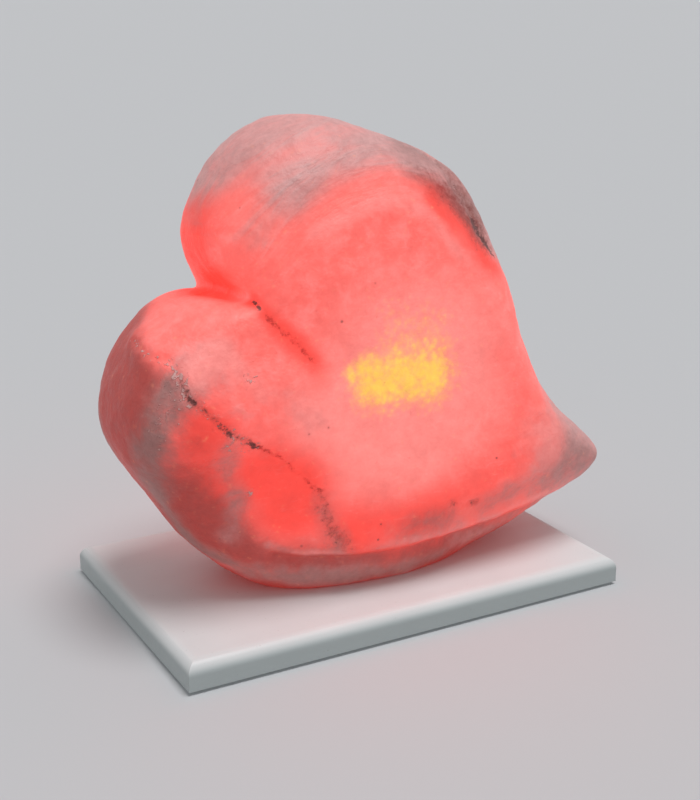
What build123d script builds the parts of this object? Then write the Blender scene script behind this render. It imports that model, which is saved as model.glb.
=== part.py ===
from build123d import *
from math import cos, radians, sin, sqrt
import os

# A carved salt heart stands on a painted board. Both are bored from below, and the lampholder
# with its bulb is pushed up into the crystal's bore. Millimetres, Z up. The origin is on the
# surface that the lamp stands on, under the middle of the whole lamp. The front is towards -Y.

# ---- Board ----
board_length = 220.0
board_width = 138.0
board_thickness = 12.5
board_edge_radius = 6.0
board_middle_x = -8.0  # the heart's tip reaches past the board's right end

foot_diameter = 16.0
foot_thickness = 3.0
foot_proud_height = 1.5  # what a foot stands out of the board
foot_margin = 8.0  # from the board's edges to a foot's rim
foot_clearance = 0.1
foot_chamfer = 0.4

# ---- Crystal ----
heart_width = 240.0  # from the low lobe's side to the tip
heart_height = 207.0  # from the board to the top of the tall lobe
crystal_thickness = 84.0  # between the edges of the front and back faces
crown_height = 8.0  # how far each face bulges past its edge
crystal_lean = 4.5  # degrees, backwards
crystal_middle_y = -6.0  # middle of the crystal's thickness, at the board

# Outline of the heart at mid thickness, clockwise from the cleft as seen from the front:
# (share of its width across, share of its height up from the board,
#  inset of the front face's edge, inset of the back face's edge)
heart_outline_shares = [
    (-0.267, 0.643, 3, 14),  # bottom of the cleft
    (-0.317, 0.783, 10, 14),
    (-0.154, 1.000, 25, 22),  # top of the tall lobe
    (0.025, 0.961, 17, 20),
    (0.175, 0.879, 20, 16),
    (0.263, 0.667, 11, 16),
    (0.421, 0.290, 10, 16),
    (0.500, 0.179, 11, 16),  # tip
    (0.354, 0.058, 21, 17),
    (-0.133, -0.048, 34, 24),  # flank that is ground flat on the board
    (-0.308, 0.039, 44, 14),
    (-0.463, 0.271, 32, 12),
    (-0.500, 0.357, 20, 12),  # side of the low lobe
    (-0.425, 0.604, 15, 16),
]
# Outline of the flat that either face rises to, from the end of the groove below the cleft, in
# the same shares
crown_outline_shares = [
    (-0.071, 0.425),  # where the groove fades out
    (-0.142, 0.551),
    (-0.188, 0.676),
    (-0.167, 0.773),
    (-0.075, 0.831),
    (0.033, 0.812),
    (0.125, 0.715),
    (0.192, 0.541),
    (0.300, 0.319),
    (0.333, 0.242),  # towards the tip
    (0.233, 0.193),
    (0.000, 0.179),
    (-0.108, 0.271),
    (-0.250, 0.396),
    (-0.317, 0.473),  # towards the low lobe
    (-0.275, 0.522),
    (-0.175, 0.488),
]
rim_power = 3.0  # higher is a squarer rim
rim_levels = [-1.0, -0.8, -0.5, 0.0, 0.5, 0.8, 1.0]  # back edge to front edge

# ---- Bore and fixings ----
lamp_x = 4.0
bore_depth = 136.0
bore_chamfer = 1.5
bore_clearance = 1.5  # round the lampholder's clip plate
opening_margin = 1.0  # of the board's opening round the bore

fixing_spacing = 64.0
fixing_screw_diameter = 4.0
fixing_screw_length = 28.0
fixing_head_diameter = 8.0
fixing_head_height = 2.6
fixing_washer_diameter = 9.4
fixing_washer_thickness = 0.8
fixing_recess_depth = 4.5
fixing_clearance = 0.3  # radial, round the screws and washers in the board
plug_diameter = 8.0
plug_length = 25.0
plug_end_gap = 2.0
plug_collar_diameter = 10.0
plug_collar_thickness = 1.0

# ---- Cord way ----
cord_hole_diameter = 6.2
groove_width = 9.0
grommet_length = 9.0
grommet_clearance = 0.05

# ---- Lampholder ----
holder_bottom = 22.0  # height of the cap's underside above the standing surface
cap_diameter = 30.0
cap_height = 12.0
cap_wall = 2.0
cap_edge_radius = 1.2
boss_diameter = 5.0
plate_thickness = 1.2
plate_margin_width = 4.5  # of the clip plate outside the cap, where the clips stand
plate_hole_diameter = 14.0
shell_diameter = 26.0
shell_wall = 2.0
shell_height = 37.0
shell_flange_height = 2.5
shell_ledge_height = 4.0
shell_ledge_width = 1.5
cap_screw_diameter = 2.5
cap_screw_spacing = 24.0  # between the two screws
cap_screw_head_diameter = 4.2
cap_screw_head_height = 1.6
cap_screw_clearance = 0.2
cap_screw_grip_length = 1.8  # how far a cap screw goes into the shell's flange
insert_thickness = 6.0
insert_clearance = 0.1
insert_chamfer = 0.4
sleeve_wall = 0.4
sleeve_clearance = 0.25  # radial, between the bulb's thread and the sleeve's
sleeve_flange_width = 2.0
contact_width = 4.0
contact_thickness = 0.5
contact_foot_length = 4.5  # of the centre contact, outwards from the middle
contact_turn_length = 2.5  # from the middle to where the centre contact turns up
contact_bow_width = 1.5  # how far its turn stands out
contact_rise_height = 3.0  # from the insert up to the bulb
terminal_length = 6.0
terminal_width = 5.0
terminal_thickness = 1.0
terminal_gap = 2.0  # between a terminal plate's end and the shell's ledge
terminal_screw_diameter = 2.5
terminal_screw_length = 4.0
terminal_head_diameter = 4.2
terminal_head_height = 1.4

clip_count = 3
clip_width = 8.0
clip_thickness = 0.5
clip_height = 21.0
clip_foot_gap = 0.4  # between a clip's foot and the shell's flange
clip_bore_clearance = 0.3
clip_lead_depth = 2.5  # how far a clip's top end is bent inwards
clip_lead_height = 6.3  # of that top end
clip_bend_radius = 1.0
rivet_diameter = 1.8
rivet_head_diameter = 2.8
rivet_head_height = 0.6

# ---- Bulb ----
bulb_length = 97.0
bulb_diameter = 35.0
bulb_glass_wall = 0.8
bulb_neck_diameter = 12.0
# Side of the bulb from the neck to the tip: (share of its radius, share of its height)
bulb_profile_shares = [(0.72, 0.18), (1.0, 0.40), (0.72, 0.66), (0.24, 0.91)]
neck_direction = (0, 1)
tip_direction = (-0.35, 1)
contact_gap = 0.1  # between the bulb's contact and the lampholder's, so that the bulb can turn
bulb_contact_diameter = 4.5
bulb_contact_height = 1.4
bulb_contact_edge_radius = 0.5
insulator_height = 3.0
insulator_rim = 0.4  # of the insulator round the contact
thread_crest_diameter = 13.9
thread_root_diameter = 12.8
thread_pitch = 2.8
thread_turns = 4
cap_shell_wall = 0.25
cap_skirt_height = 4.0
stem_diameter = 4.6
stem_height = 24.0
stem_lip_height = 1.0  # of its flared foot's rim
stem_flare_height = 3.0
lead_diameter = 0.8
lead_end_spacing = 18.0  # between the lead wires' upper ends
lead_root_spacing = 2.8  # between them where they leave the stem
lead_root_height = 3.2  # of their straight lower ends
lead_end_height = 2.4  # of their straight upper ends
lead_bend_radius = 1.6
filament_height = 38.0  # of the filament's ends, above the bottom of the glass
filament_diameter = 0.7
support_diameter = 0.5
support_angle = 65.0  # degrees above level, on the filament's arc

# ---- Levels and places that follow ----
board_bottom = foot_proud_height
seat = board_bottom + board_thickness
lean_front = Vector(0, -cos(radians(crystal_lean)), sin(radians(crystal_lean)))
mid_plane = Plane(origin=(0, crystal_middle_y, seat), x_dir=(1, 0, 0), z_dir=lean_front)
plate_diameter = cap_diameter + 2 * plate_margin_width
bore_diameter = plate_diameter + 2 * bore_clearance
board_opening_diameter = bore_diameter + 2 * opening_margin
fixing_x = [lamp_x - fixing_spacing / 2, lamp_x + fixing_spacing / 2]
fixing_seat = board_bottom + fixing_recess_depth
groove_axis = board_bottom + groove_width / 2

cap_top = holder_bottom + cap_height
shell_bottom = cap_top + plate_thickness
insert_bottom = shell_bottom + shell_ledge_height
insert_top = insert_bottom + insert_thickness
shell_inner_radius = shell_diameter / 2 - shell_wall
ledge_radius = shell_inner_radius - shell_ledge_width
insert_radius = shell_inner_radius - insert_clearance
terminal_spacing = 2 * (ledge_radius - terminal_gap) - terminal_width

bulb_bottom = insert_top + contact_rise_height
insulator_bottom = bulb_bottom + bulb_contact_height / 2
thread_bottom = insulator_bottom + insulator_height
thread_top = thread_bottom + thread_turns * thread_pitch
skirt_top = thread_top + cap_skirt_height
glass_bottom = thread_top - cap_skirt_height
bulb_top = bulb_bottom + bulb_length


def on_face(across, up):
    """A place in the heart's plane, from shares of its width and height."""
    return Vector(across * heart_width, up * heart_height)


def heart_outline(depth):
    """Points round the heart at a depth from -1, the back face's edge, to 1, the front's."""
    outline = [on_face(across, up) for across, up, _, _ in heart_outline_shares]
    moved = []
    for i, (_, _, front_inset, back_inset) in enumerate(heart_outline_shares):
        before, after = outline[i - 1], outline[(i + 1) % len(outline)]
        inward = Vector(after.Y - before.Y, before.X - after.X).normalized()
        if i == 0:
            inward = (crown_points[0] - outline[0]).normalized()
        edge_inset = front_inset if depth > 0 else back_inset
        moved.append(outline[i] + inward * edge_inset * abs(depth) ** rim_power)
    return moved


def pan_screw(diameter, length, head_diameter, head_height):
    """A screw that points up, its head's seat at Z = 0 and a cross recess below."""
    recess_width = diameter * 0.3
    recess_length = head_diameter * 0.6
    recess_depth = head_height * 0.6
    point_chamfer = diameter * 0.25
    head_edge_radius = head_height * 0.4
    with BuildPart() as screw:
        with BuildSketch():
            Circle(diameter / 2)
        extrude(amount=length)
        chamfer(screw.edges().sort_by(Axis.Z)[-1], point_chamfer)
        with BuildSketch():
            Circle(head_diameter / 2)
        extrude(amount=-head_height)
        fillet(screw.edges().sort_by(Axis.Z)[0], head_edge_radius)
        with BuildSketch(Plane.XY.offset(-head_height)):
            Rectangle(recess_length, recess_width)
            Rectangle(recess_width, recess_length)
        extrude(amount=recess_depth, mode=Mode.SUBTRACT)
    return screw.part


def thread_points(offset, bottom, turns):
    """Crests and roots of the rolled thread, as (radius, height), moved outwards by an offset."""
    crest = thread_crest_diameter / 2 + offset
    root = thread_root_diameter / 2 + offset
    points = []
    for turn in range(turns):
        points.append((root, bottom + turn * thread_pitch))
        points.append((crest, bottom + (turn + 0.5) * thread_pitch))
    points.append((root, bottom + turns * thread_pitch))
    return points


def bulb_points(inset):
    """Side of the candle bulb from its neck to its tip, moved inwards by the inset."""
    neck = bulb_neck_diameter / 2 - inset
    belly = bulb_diameter / 2 - inset
    height = bulb_top - skirt_top
    side = [(belly * out, skirt_top + height * up) for out, up in bulb_profile_shares]
    return [(neck, skirt_top), *side, (0, bulb_top - inset)]


crown_points = [on_face(across, up) for across, up in crown_outline_shares]

# ======== Stand: crystal, board and what fastens them ========

with BuildPart() as salt_crystal:
    # rim between the two faces' edges
    for level in rim_levels:
        edge_points = heart_outline(level)
        with BuildSketch(mid_plane.offset(level * crystal_thickness / 2)):
            with BuildLine():
                Spline(*edge_points, edge_points[0])
            make_face()
    loft()
    # each face rises from its edge to the crown's flat
    for level in (1.0, -1.0):
        edge_points = heart_outline(level)
        with BuildSketch(mid_plane.offset(level * crystal_thickness / 2)):
            with BuildLine():
                Spline(*edge_points, edge_points[0])
            make_face()
        with BuildSketch(mid_plane.offset(level * (crystal_thickness / 2 + crown_height))):
            with BuildLine():
                Spline(*crown_points, crown_points[0])
            make_face()
        loft()
    # flank ground flat on the board
    split(bisect_by=Plane.XY.offset(seat), keep=Keep.TOP)
    # bore for the lampholder and the bulb
    with BuildSketch(Plane.XY.offset(seat)):
        with Locations((lamp_x, 0)):
            Circle(bore_diameter / 2)
    extrude(amount=bore_depth, mode=Mode.SUBTRACT)
    bore_mouth = salt_crystal.faces().sort_by(Axis.Z)[0].edges().filter_by(GeomType.CIRCLE)
    chamfer(bore_mouth, bore_chamfer)
    # holes for the wall plugs, sunk for their collars
    with BuildSketch(Plane.XY.offset(seat)):
        with Locations(*[(x, 0) for x in fixing_x]):
            Circle(plug_diameter / 2)
    extrude(amount=plug_length + plug_end_gap, mode=Mode.SUBTRACT)
    with BuildSketch(Plane.XY.offset(seat)):
        with Locations(*[(x, 0) for x in fixing_x]):
            Circle(plug_collar_diameter / 2)
    extrude(amount=plug_collar_thickness, mode=Mode.SUBTRACT)

with BuildPart() as base_board:
    with BuildSketch(Plane.XY.offset(board_bottom)):
        with Locations((board_middle_x, 0)):
            Rectangle(board_length, board_width)
    extrude(amount=board_thickness)
    fillet(base_board.faces().sort_by(Axis.Z)[-1].edges(), board_edge_radius)
    with BuildSketch(Plane.XY.offset(board_bottom)):
        with Locations((lamp_x, 0)):
            Circle(board_opening_diameter / 2)
    extrude(amount=board_thickness, mode=Mode.SUBTRACT)
    # cord groove with an arched roof, from the opening to the back edge
    with BuildSketch(Plane.XZ.offset(-board_width / 2)):
        with Locations((lamp_x, groove_axis)):
            Circle(groove_width / 2)
        with Locations((lamp_x, (board_bottom + groove_axis) / 2)):
            Rectangle(groove_width, groove_axis - board_bottom)
    extrude(amount=board_width / 2, mode=Mode.SUBTRACT)
    # recesses for the feet
    foot_spacing_x = board_length - 2 * foot_margin - foot_diameter
    foot_spacing_y = board_width - 2 * foot_margin - foot_diameter
    with BuildSketch(Plane.XY.offset(board_bottom)):
        with Locations((board_middle_x, 0)):
            with GridLocations(foot_spacing_x, foot_spacing_y, 2, 2):
                Circle(foot_diameter / 2 + foot_clearance)
    extrude(amount=foot_thickness - foot_proud_height, mode=Mode.SUBTRACT)
    # recesses and holes for the two fixing screws
    with BuildSketch(Plane.XY.offset(board_bottom)):
        with Locations(*[(x, 0) for x in fixing_x]):
            Circle(fixing_washer_diameter / 2 + fixing_clearance)
    extrude(amount=fixing_recess_depth, mode=Mode.SUBTRACT)
    with BuildSketch(Plane.XY.offset(fixing_seat)):
        with Locations(*[(x, 0) for x in fixing_x]):
            Circle(fixing_screw_diameter / 2 + fixing_clearance)
    extrude(amount=seat - fixing_seat, mode=Mode.SUBTRACT)

with BuildPart() as board_feet:
    with BuildSketch():
        with Locations((board_middle_x, 0)):
            with GridLocations(foot_spacing_x, foot_spacing_y, 2, 2):
                Circle(foot_diameter / 2)
    extrude(amount=foot_thickness)
    chamfer(board_feet.edges().group_by(Axis.Z)[0], foot_chamfer)

with BuildPart() as wall_plugs:
    with BuildSketch(Plane.XY.offset(seat)):
        with Locations(*[(x, 0) for x in fixing_x]):
            Circle(plug_collar_diameter / 2)
    extrude(amount=plug_collar_thickness)
    with BuildSketch(Plane.XY.offset(seat)):
        with Locations(*[(x, 0) for x in fixing_x]):
            Circle(plug_diameter / 2)
    extrude(amount=plug_length)
    with BuildSketch(Plane.XY.offset(seat)):
        with Locations(*[(x, 0) for x in fixing_x]):
            Circle(fixing_screw_diameter / 2)
    extrude(amount=plug_length, mode=Mode.SUBTRACT)

with BuildPart() as fixing_washers:
    with BuildSketch(Plane.XY.offset(fixing_seat - fixing_washer_thickness)):
        with Locations(*[(x, 0) for x in fixing_x]):
            Circle(fixing_washer_diameter / 2)
            Circle(fixing_screw_diameter / 2 + fixing_clearance, mode=Mode.SUBTRACT)
    extrude(amount=fixing_washer_thickness)

fixing_screw = pan_screw(
    fixing_screw_diameter, fixing_screw_length, fixing_head_diameter, fixing_head_height
)
with BuildPart() as fixing_screws:
    with Locations(*[(x, 0, fixing_seat - fixing_washer_thickness) for x in fixing_x]):
        add(fixing_screw)

with BuildPart() as cord_grommet:
    with BuildSketch(Plane.XZ.offset(-board_width / 2)):
        with Locations((lamp_x, groove_axis)):
            Circle(groove_width / 2 - grommet_clearance)
        with Locations((lamp_x, (board_bottom + groove_axis) / 2)):
            Rectangle(groove_width - 2 * grommet_clearance, groove_axis - board_bottom)
        with Locations((lamp_x, groove_axis)):
            Circle(cord_hole_diameter / 2, mode=Mode.SUBTRACT)
    extrude(amount=grommet_length)

# ======== Lampholder, held in the bore by its clips ========

with BuildPart() as holder_cap:
    with BuildSketch(Plane.XY.offset(holder_bottom)):
        with Locations((lamp_x, 0)):
            Circle(cap_diameter / 2)
    extrude(amount=cap_height)
    fillet(holder_cap.faces().sort_by(Axis.Z)[0].edges(), cap_edge_radius)
    with BuildSketch(Plane.XY.offset(holder_bottom + cap_wall)):
        with Locations((lamp_x, 0)):
            Circle(cap_diameter / 2 - cap_wall)
    extrude(amount=cap_height - cap_wall, mode=Mode.SUBTRACT)
    # bosses round the two long screws
    with BuildSketch(Plane.XY.offset(holder_bottom + cap_wall)):
        with Locations((lamp_x, 0)):
            with PolarLocations(cap_screw_spacing / 2, 2):
                Circle(boss_diameter / 2)
    extrude(amount=cap_height - cap_wall)
    with BuildSketch(Plane.XY.offset(holder_bottom)):
        with Locations((lamp_x, 0)):
            Circle(cord_hole_diameter / 2)
            with PolarLocations(cap_screw_spacing / 2, 2):
                Circle(cap_screw_diameter / 2 + cap_screw_clearance)
    extrude(amount=cap_height, mode=Mode.SUBTRACT)
    # sunk places for the screw heads
    with BuildSketch(Plane.XY.offset(holder_bottom)):
        with Locations((lamp_x, 0)):
            with PolarLocations(cap_screw_spacing / 2, 2):
                Circle(cap_screw_head_diameter / 2 + cap_screw_clearance)
    extrude(amount=cap_screw_head_height, mode=Mode.SUBTRACT)

cap_screw_length = cap_height - cap_screw_head_height + plate_thickness + cap_screw_grip_length
cap_screw = pan_screw(cap_screw_diameter, cap_screw_length, cap_screw_head_diameter, cap_screw_head_height)
with BuildPart() as cap_screws:
    with Locations((lamp_x, 0, holder_bottom + cap_screw_head_height)):
        with PolarLocations(cap_screw_spacing / 2, 2):
            add(cap_screw)

clip_foot_radius = cap_diameter / 2 + clip_foot_gap
rivet_circle = 2 * clip_foot_radius + rivet_head_diameter  # diameter through the rivets
with BuildPart() as clip_plate:
    with BuildSketch(Plane.XY.offset(cap_top)):
        with Locations((lamp_x, 0)):
            Circle(plate_diameter / 2)
            Circle(plate_hole_diameter / 2, mode=Mode.SUBTRACT)
            with PolarLocations(cap_screw_spacing / 2, 2):
                Circle(cap_screw_diameter / 2 + cap_screw_clearance, mode=Mode.SUBTRACT)
            with PolarLocations(rivet_circle / 2, clip_count, start_angle=90):
                Circle(rivet_diameter / 2, mode=Mode.SUBTRACT)
    extrude(amount=plate_thickness)

# clips: a riveted foot, a spring side that leans out to the bore, and a top end bent inwards
clip_reach = bore_diameter / 2 - clip_bore_clearance  # of a clip's outer corners
clip_grip_radius = sqrt(clip_reach**2 - (clip_width / 2) ** 2) - clip_thickness / 2
clip_foot_height = shell_bottom + clip_thickness / 2
with BuildPart() as spring_clips:
    for i in range(clip_count):
        angle = radians(90 + i * 360 / clip_count)
        clip_plane = Plane(
            origin=(lamp_x, 0, 0),
            x_dir=(cos(angle), sin(angle), 0),
            z_dir=(sin(angle), -cos(angle), 0),
        )
        with BuildSketch(clip_plane):
            with BuildLine() as clip_line:
                FilletPolyline(
                    (clip_foot_radius, clip_foot_height),
                    (plate_diameter / 2 - clip_thickness, clip_foot_height),
                    (clip_grip_radius, clip_foot_height + clip_height - clip_lead_height),
                    (clip_grip_radius - clip_lead_depth, clip_foot_height + clip_height),
                    radius=clip_bend_radius,
                )
            trace(line_width=clip_thickness)
        extrude(amount=clip_width / 2, both=True)
    with BuildSketch(Plane.XY.offset(shell_bottom)):
        with Locations((lamp_x, 0)):
            with PolarLocations(rivet_circle / 2, clip_count, start_angle=90):
                Circle(rivet_diameter / 2)
    extrude(amount=clip_thickness, mode=Mode.SUBTRACT)

with BuildPart() as clip_rivets:
    with BuildSketch(Plane.XY.offset(cap_top)):
        with Locations((lamp_x, 0)):
            with PolarLocations(rivet_circle / 2, clip_count, start_angle=90):
                Circle(rivet_diameter / 2)
    extrude(amount=plate_thickness + clip_thickness)
    for head_plane, direction in ((cap_top, -1), (shell_bottom + clip_thickness, 1)):
        with BuildSketch(Plane.XY.offset(head_plane)):
            with Locations((lamp_x, 0)):
                with PolarLocations(rivet_circle / 2, clip_count, start_angle=90):
                    Circle(rivet_head_diameter / 2)
        extrude(amount=direction * rivet_head_height)

lamp_axis = Axis((lamp_x, 0, 0), (0, 0, 1))
lamp_section = Plane(origin=(lamp_x, 0, 0), x_dir=(1, 0, 0), z_dir=(0, -1, 0))

with BuildPart() as holder_body:
    outer_radius = shell_diameter / 2
    with BuildSketch(lamp_section):
        with BuildLine():
            Polyline(
                (ledge_radius, shell_bottom),
                (cap_diameter / 2, shell_bottom),
                (cap_diameter / 2, shell_bottom + shell_flange_height),
                (outer_radius, shell_bottom + shell_flange_height),
                (outer_radius, shell_bottom + shell_height),
                (shell_inner_radius, shell_bottom + shell_height),
                (shell_inner_radius, insert_bottom),
                (ledge_radius, insert_bottom),
                close=True,
            )
        make_face()
    revolve(axis=lamp_axis)
    fillet(holder_body.faces().sort_by(Axis.Z)[-1].edges(), shell_wall * 0.4)
    with BuildSketch(Plane.XY.offset(shell_bottom)):
        with Locations((lamp_x, 0)):
            with PolarLocations(cap_screw_spacing / 2, 2):
                Circle(cap_screw_diameter / 2)
    extrude(amount=cap_screw_grip_length, mode=Mode.SUBTRACT)

with BuildPart() as contact_insert:
    with BuildSketch(Plane.XY.offset(insert_bottom)):
        with Locations((lamp_x, 0)):
            Circle(insert_radius)
    extrude(amount=insert_thickness)
    chamfer(contact_insert.edges(), insert_chamfer)
    # holes for the terminal screws
    with BuildSketch(Plane.XY.offset(insert_bottom)):
        with Locations((lamp_x, 0)):
            with GridLocations(terminal_spacing, 1, 2, 1):
                Circle(terminal_screw_diameter / 2)
    extrude(amount=terminal_screw_length, mode=Mode.SUBTRACT)

with BuildPart() as threaded_sleeve:
    inner_side = thread_points(sleeve_clearance, thread_bottom, thread_turns)[:-1]
    outer_side = [(r + sleeve_wall, z) for r, z in inner_side]
    flange_radius = outer_side[0][0] + sleeve_flange_width
    with BuildSketch(lamp_section):
        with BuildLine():
            Spline(*inner_side)
            Line(inner_side[-1], outer_side[-1])
            Spline(*outer_side)
            Line(outer_side[0], (outer_side[0][0], insert_top + sleeve_wall))
            Polyline(
                (outer_side[0][0], insert_top + sleeve_wall),
                (flange_radius, insert_top + sleeve_wall),
                (flange_radius, insert_top),
                (inner_side[0][0], insert_top),
                inner_side[0],
            )
        make_face()
    revolve(axis=lamp_axis)

contact_base = insert_top + contact_thickness / 2
contact_top = bulb_bottom - contact_gap - contact_thickness / 2
with BuildPart() as centre_contact:
    with BuildSketch(lamp_section):
        with BuildLine():
            FilletPolyline(
                (-contact_foot_length, contact_base),
                (contact_turn_length, contact_base),
                (contact_turn_length + contact_bow_width, (contact_base + contact_top) / 2),
                (bulb_contact_diameter / 3, contact_top),
                (-bulb_contact_diameter / 2, contact_top),
                radius=contact_thickness,
            )
        trace(line_width=contact_thickness)
    extrude(amount=contact_width / 2, both=True)

with BuildPart() as terminal_plates:
    with BuildSketch(Plane.XY.offset(insert_bottom - terminal_thickness)):
        with Locations((lamp_x, 0)):
            with GridLocations(terminal_spacing, 1, 2, 1):
                Rectangle(terminal_width, terminal_length)
                Circle(terminal_screw_diameter / 2, mode=Mode.SUBTRACT)
    extrude(amount=terminal_thickness)

terminal_screw = pan_screw(
    terminal_screw_diameter, terminal_screw_length, terminal_head_diameter, terminal_head_height
)
with BuildPart() as terminal_screws:
    with Locations((lamp_x, 0, insert_bottom - terminal_thickness)):
        with GridLocations(terminal_spacing, 1, 2, 1):
            add(terminal_screw)

# ======== Bulb, which turns in the lampholder ========

with BuildPart() as bulb_glass:
    glass_outside = bulb_points(0)
    glass_inside = bulb_points(bulb_glass_wall)
    with BuildSketch(lamp_section):
        with BuildLine():
            Spline(*glass_outside, tangents=[neck_direction, tip_direction])
            Line(glass_outside[-1], glass_inside[-1])
            Spline(*glass_inside, tangents=[neck_direction, tip_direction])
            Polyline(
                glass_inside[0],
                (glass_inside[0][0], glass_bottom),
                (glass_outside[0][0], glass_bottom),
                glass_outside[0],
            )
        make_face()
    revolve(axis=lamp_axis)

with BuildPart() as bulb_cap_shell:
    cap_outside = thread_points(0, thread_bottom, thread_turns)
    cap_inside = [(r - cap_shell_wall, z) for r, z in cap_outside]
    with BuildSketch(lamp_section):
        with BuildLine():
            Spline(*cap_outside)
            Polyline(
                cap_outside[-1],
                (cap_outside[-1][0], skirt_top),
                (cap_inside[-1][0], skirt_top),
                cap_inside[-1],
            )
            Spline(*cap_inside)
            Line(cap_inside[0], cap_outside[0])
        make_face()
    revolve(axis=lamp_axis)

with BuildPart() as bulb_insulator:
    with BuildSketch(lamp_section):
        with BuildLine():
            Polyline(
                (0, insulator_bottom),
                (bulb_contact_diameter / 2 + insulator_rim, insulator_bottom),
                (thread_root_diameter / 2 - cap_shell_wall, thread_bottom),
                (0, thread_bottom),
                close=True,
            )
        make_face()
    revolve(axis=lamp_axis)
    with BuildSketch(Plane.XY.offset(insulator_bottom)):
        with Locations((lamp_x, 0)):
            Circle(bulb_contact_diameter / 2)
    extrude(amount=bulb_contact_height / 2, mode=Mode.SUBTRACT)

with BuildPart() as bulb_contact:
    with BuildSketch(Plane.XY.offset(bulb_bottom)):
        with Locations((lamp_x, 0)):
            Circle(bulb_contact_diameter / 2)
    extrude(amount=bulb_contact_height)
    fillet(bulb_contact.edges().sort_by(Axis.Z)[0], bulb_contact_edge_radius)

stem_top = glass_bottom + stem_height
filament_base = glass_bottom + filament_height
with BuildPart() as bulb_stem:
    with BuildSketch(lamp_section):
        with BuildLine():
            Polyline(
                (0, glass_bottom),
                (bulb_neck_diameter / 2 - bulb_glass_wall, glass_bottom),
                (bulb_neck_diameter / 2 - bulb_glass_wall, glass_bottom + stem_lip_height),
                (stem_diameter / 2, glass_bottom + stem_flare_height),
                (stem_diameter / 2, stem_top),
                (0, stem_top),
                close=True,
            )
        make_face()
    revolve(axis=lamp_axis)

filament_radius = lead_end_spacing / 2
lead_root = lead_root_spacing / 2
with BuildPart() as lead_wires:
    for side in (-1, 1):
        with BuildLine():
            lead_path = FilletPolyline(
                (lamp_x + side * lead_root, 0, stem_top),
                (lamp_x + side * lead_root, 0, stem_top + lead_root_height),
                (lamp_x + side * filament_radius, 0, filament_base - lead_end_height),
                (lamp_x + side * filament_radius, 0, filament_base),
                radius=lead_bend_radius,
            )
        with BuildSketch(Plane(origin=lead_path @ 0, z_dir=lead_path % 0)):
            Circle(lead_diameter / 2)
        sweep(path=lead_path)

with BuildPart() as filament:
    with BuildLine():
        filament_path = ThreePointArc(
            (lamp_x - filament_radius, 0, filament_base),
            (lamp_x, 0, filament_base + filament_radius),
            (lamp_x + filament_radius, 0, filament_base),
        )
    with BuildSketch(Plane(origin=filament_path @ 0, z_dir=filament_path % 0)):
        Circle(filament_diameter / 2)
    sweep(path=filament_path)

# the supports stand on the stem and end under the filament
support_reach = filament_radius - (filament_diameter + support_diameter) / 2
with BuildPart() as support_wires:
    for side in (-1, 1):
        with BuildLine():
            support_end_x = support_reach * cos(radians(support_angle))
            support_end_z = support_reach * sin(radians(support_angle))
            support_path = Line(
                (lamp_x + side * support_diameter, -side * lead_root, stem_top),
                (lamp_x + side * support_end_x, 0, filament_base + support_end_z),
            )
        with BuildSketch(Plane(origin=support_path @ 0, z_dir=(0, 0, 1))):
            Circle(support_diameter / 2)
        sweep(path=support_path)

# ======== Files, one for each piece ========

pieces = {
    "salt_crystal": salt_crystal,
    "base_board": base_board,
    "board_feet": board_feet,
    "wall_plugs": wall_plugs,
    "fixing_washers": fixing_washers,
    "fixing_screws": fixing_screws,
    "cord_grommet": cord_grommet,
    "holder_cap": holder_cap,
    "cap_screws": cap_screws,
    "clip_plate": clip_plate,
    "spring_clips": spring_clips,
    "clip_rivets": clip_rivets,
    "holder_body": holder_body,
    "contact_insert": contact_insert,
    "threaded_sleeve": threaded_sleeve,
    "centre_contact": centre_contact,
    "terminal_plates": terminal_plates,
    "terminal_screws": terminal_screws,
    "bulb_glass": bulb_glass,
    "bulb_cap_shell": bulb_cap_shell,
    "bulb_insulator": bulb_insulator,
    "bulb_contact": bulb_contact,
    "bulb_stem": bulb_stem,
    "lead_wires": lead_wires,
    "support_wires": support_wires,
    "filament": filament,
}
os.makedirs("parts", exist_ok=True)
for name, piece in pieces.items():
    piece.part.label = name
    export_step(piece.part, f"parts/{name}.step")
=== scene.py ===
"""Looks of the salt crystal lamp: a carved heart of rock salt, lit from inside, on a painted board.

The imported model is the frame. Lengths are in metres, and +Z is up. Only places on the heart are in
millimetres, in its own leaning frame: across the face, up from the board, and out of the face.
"""

from __future__ import annotations

import logging
import math
from dataclasses import dataclass
from enum import Enum

import bpy
import numpy as np
from mathutils import Matrix, Vector


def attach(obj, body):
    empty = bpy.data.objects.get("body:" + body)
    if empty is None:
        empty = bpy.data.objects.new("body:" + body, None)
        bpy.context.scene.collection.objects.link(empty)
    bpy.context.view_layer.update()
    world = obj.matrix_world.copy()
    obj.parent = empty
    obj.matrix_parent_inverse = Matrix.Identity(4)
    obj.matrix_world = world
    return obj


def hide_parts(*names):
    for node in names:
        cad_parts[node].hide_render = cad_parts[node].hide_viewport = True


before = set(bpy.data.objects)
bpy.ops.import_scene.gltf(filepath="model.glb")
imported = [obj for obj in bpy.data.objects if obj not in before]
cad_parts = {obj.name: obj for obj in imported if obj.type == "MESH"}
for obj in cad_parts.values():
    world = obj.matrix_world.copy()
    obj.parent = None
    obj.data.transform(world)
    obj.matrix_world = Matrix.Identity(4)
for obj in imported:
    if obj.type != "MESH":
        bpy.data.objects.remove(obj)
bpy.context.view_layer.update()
MM = 0.001
LOG = logging.getLogger("salt_lamp")

Colour = tuple[float, float, float]
Place = tuple[float, float, float]

STAND = "stand"  # the rigid body that both new pieces ride on
MERGE_DISTANCE = 0.002 * MM
NEVER_ZERO = 1e-9


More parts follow.
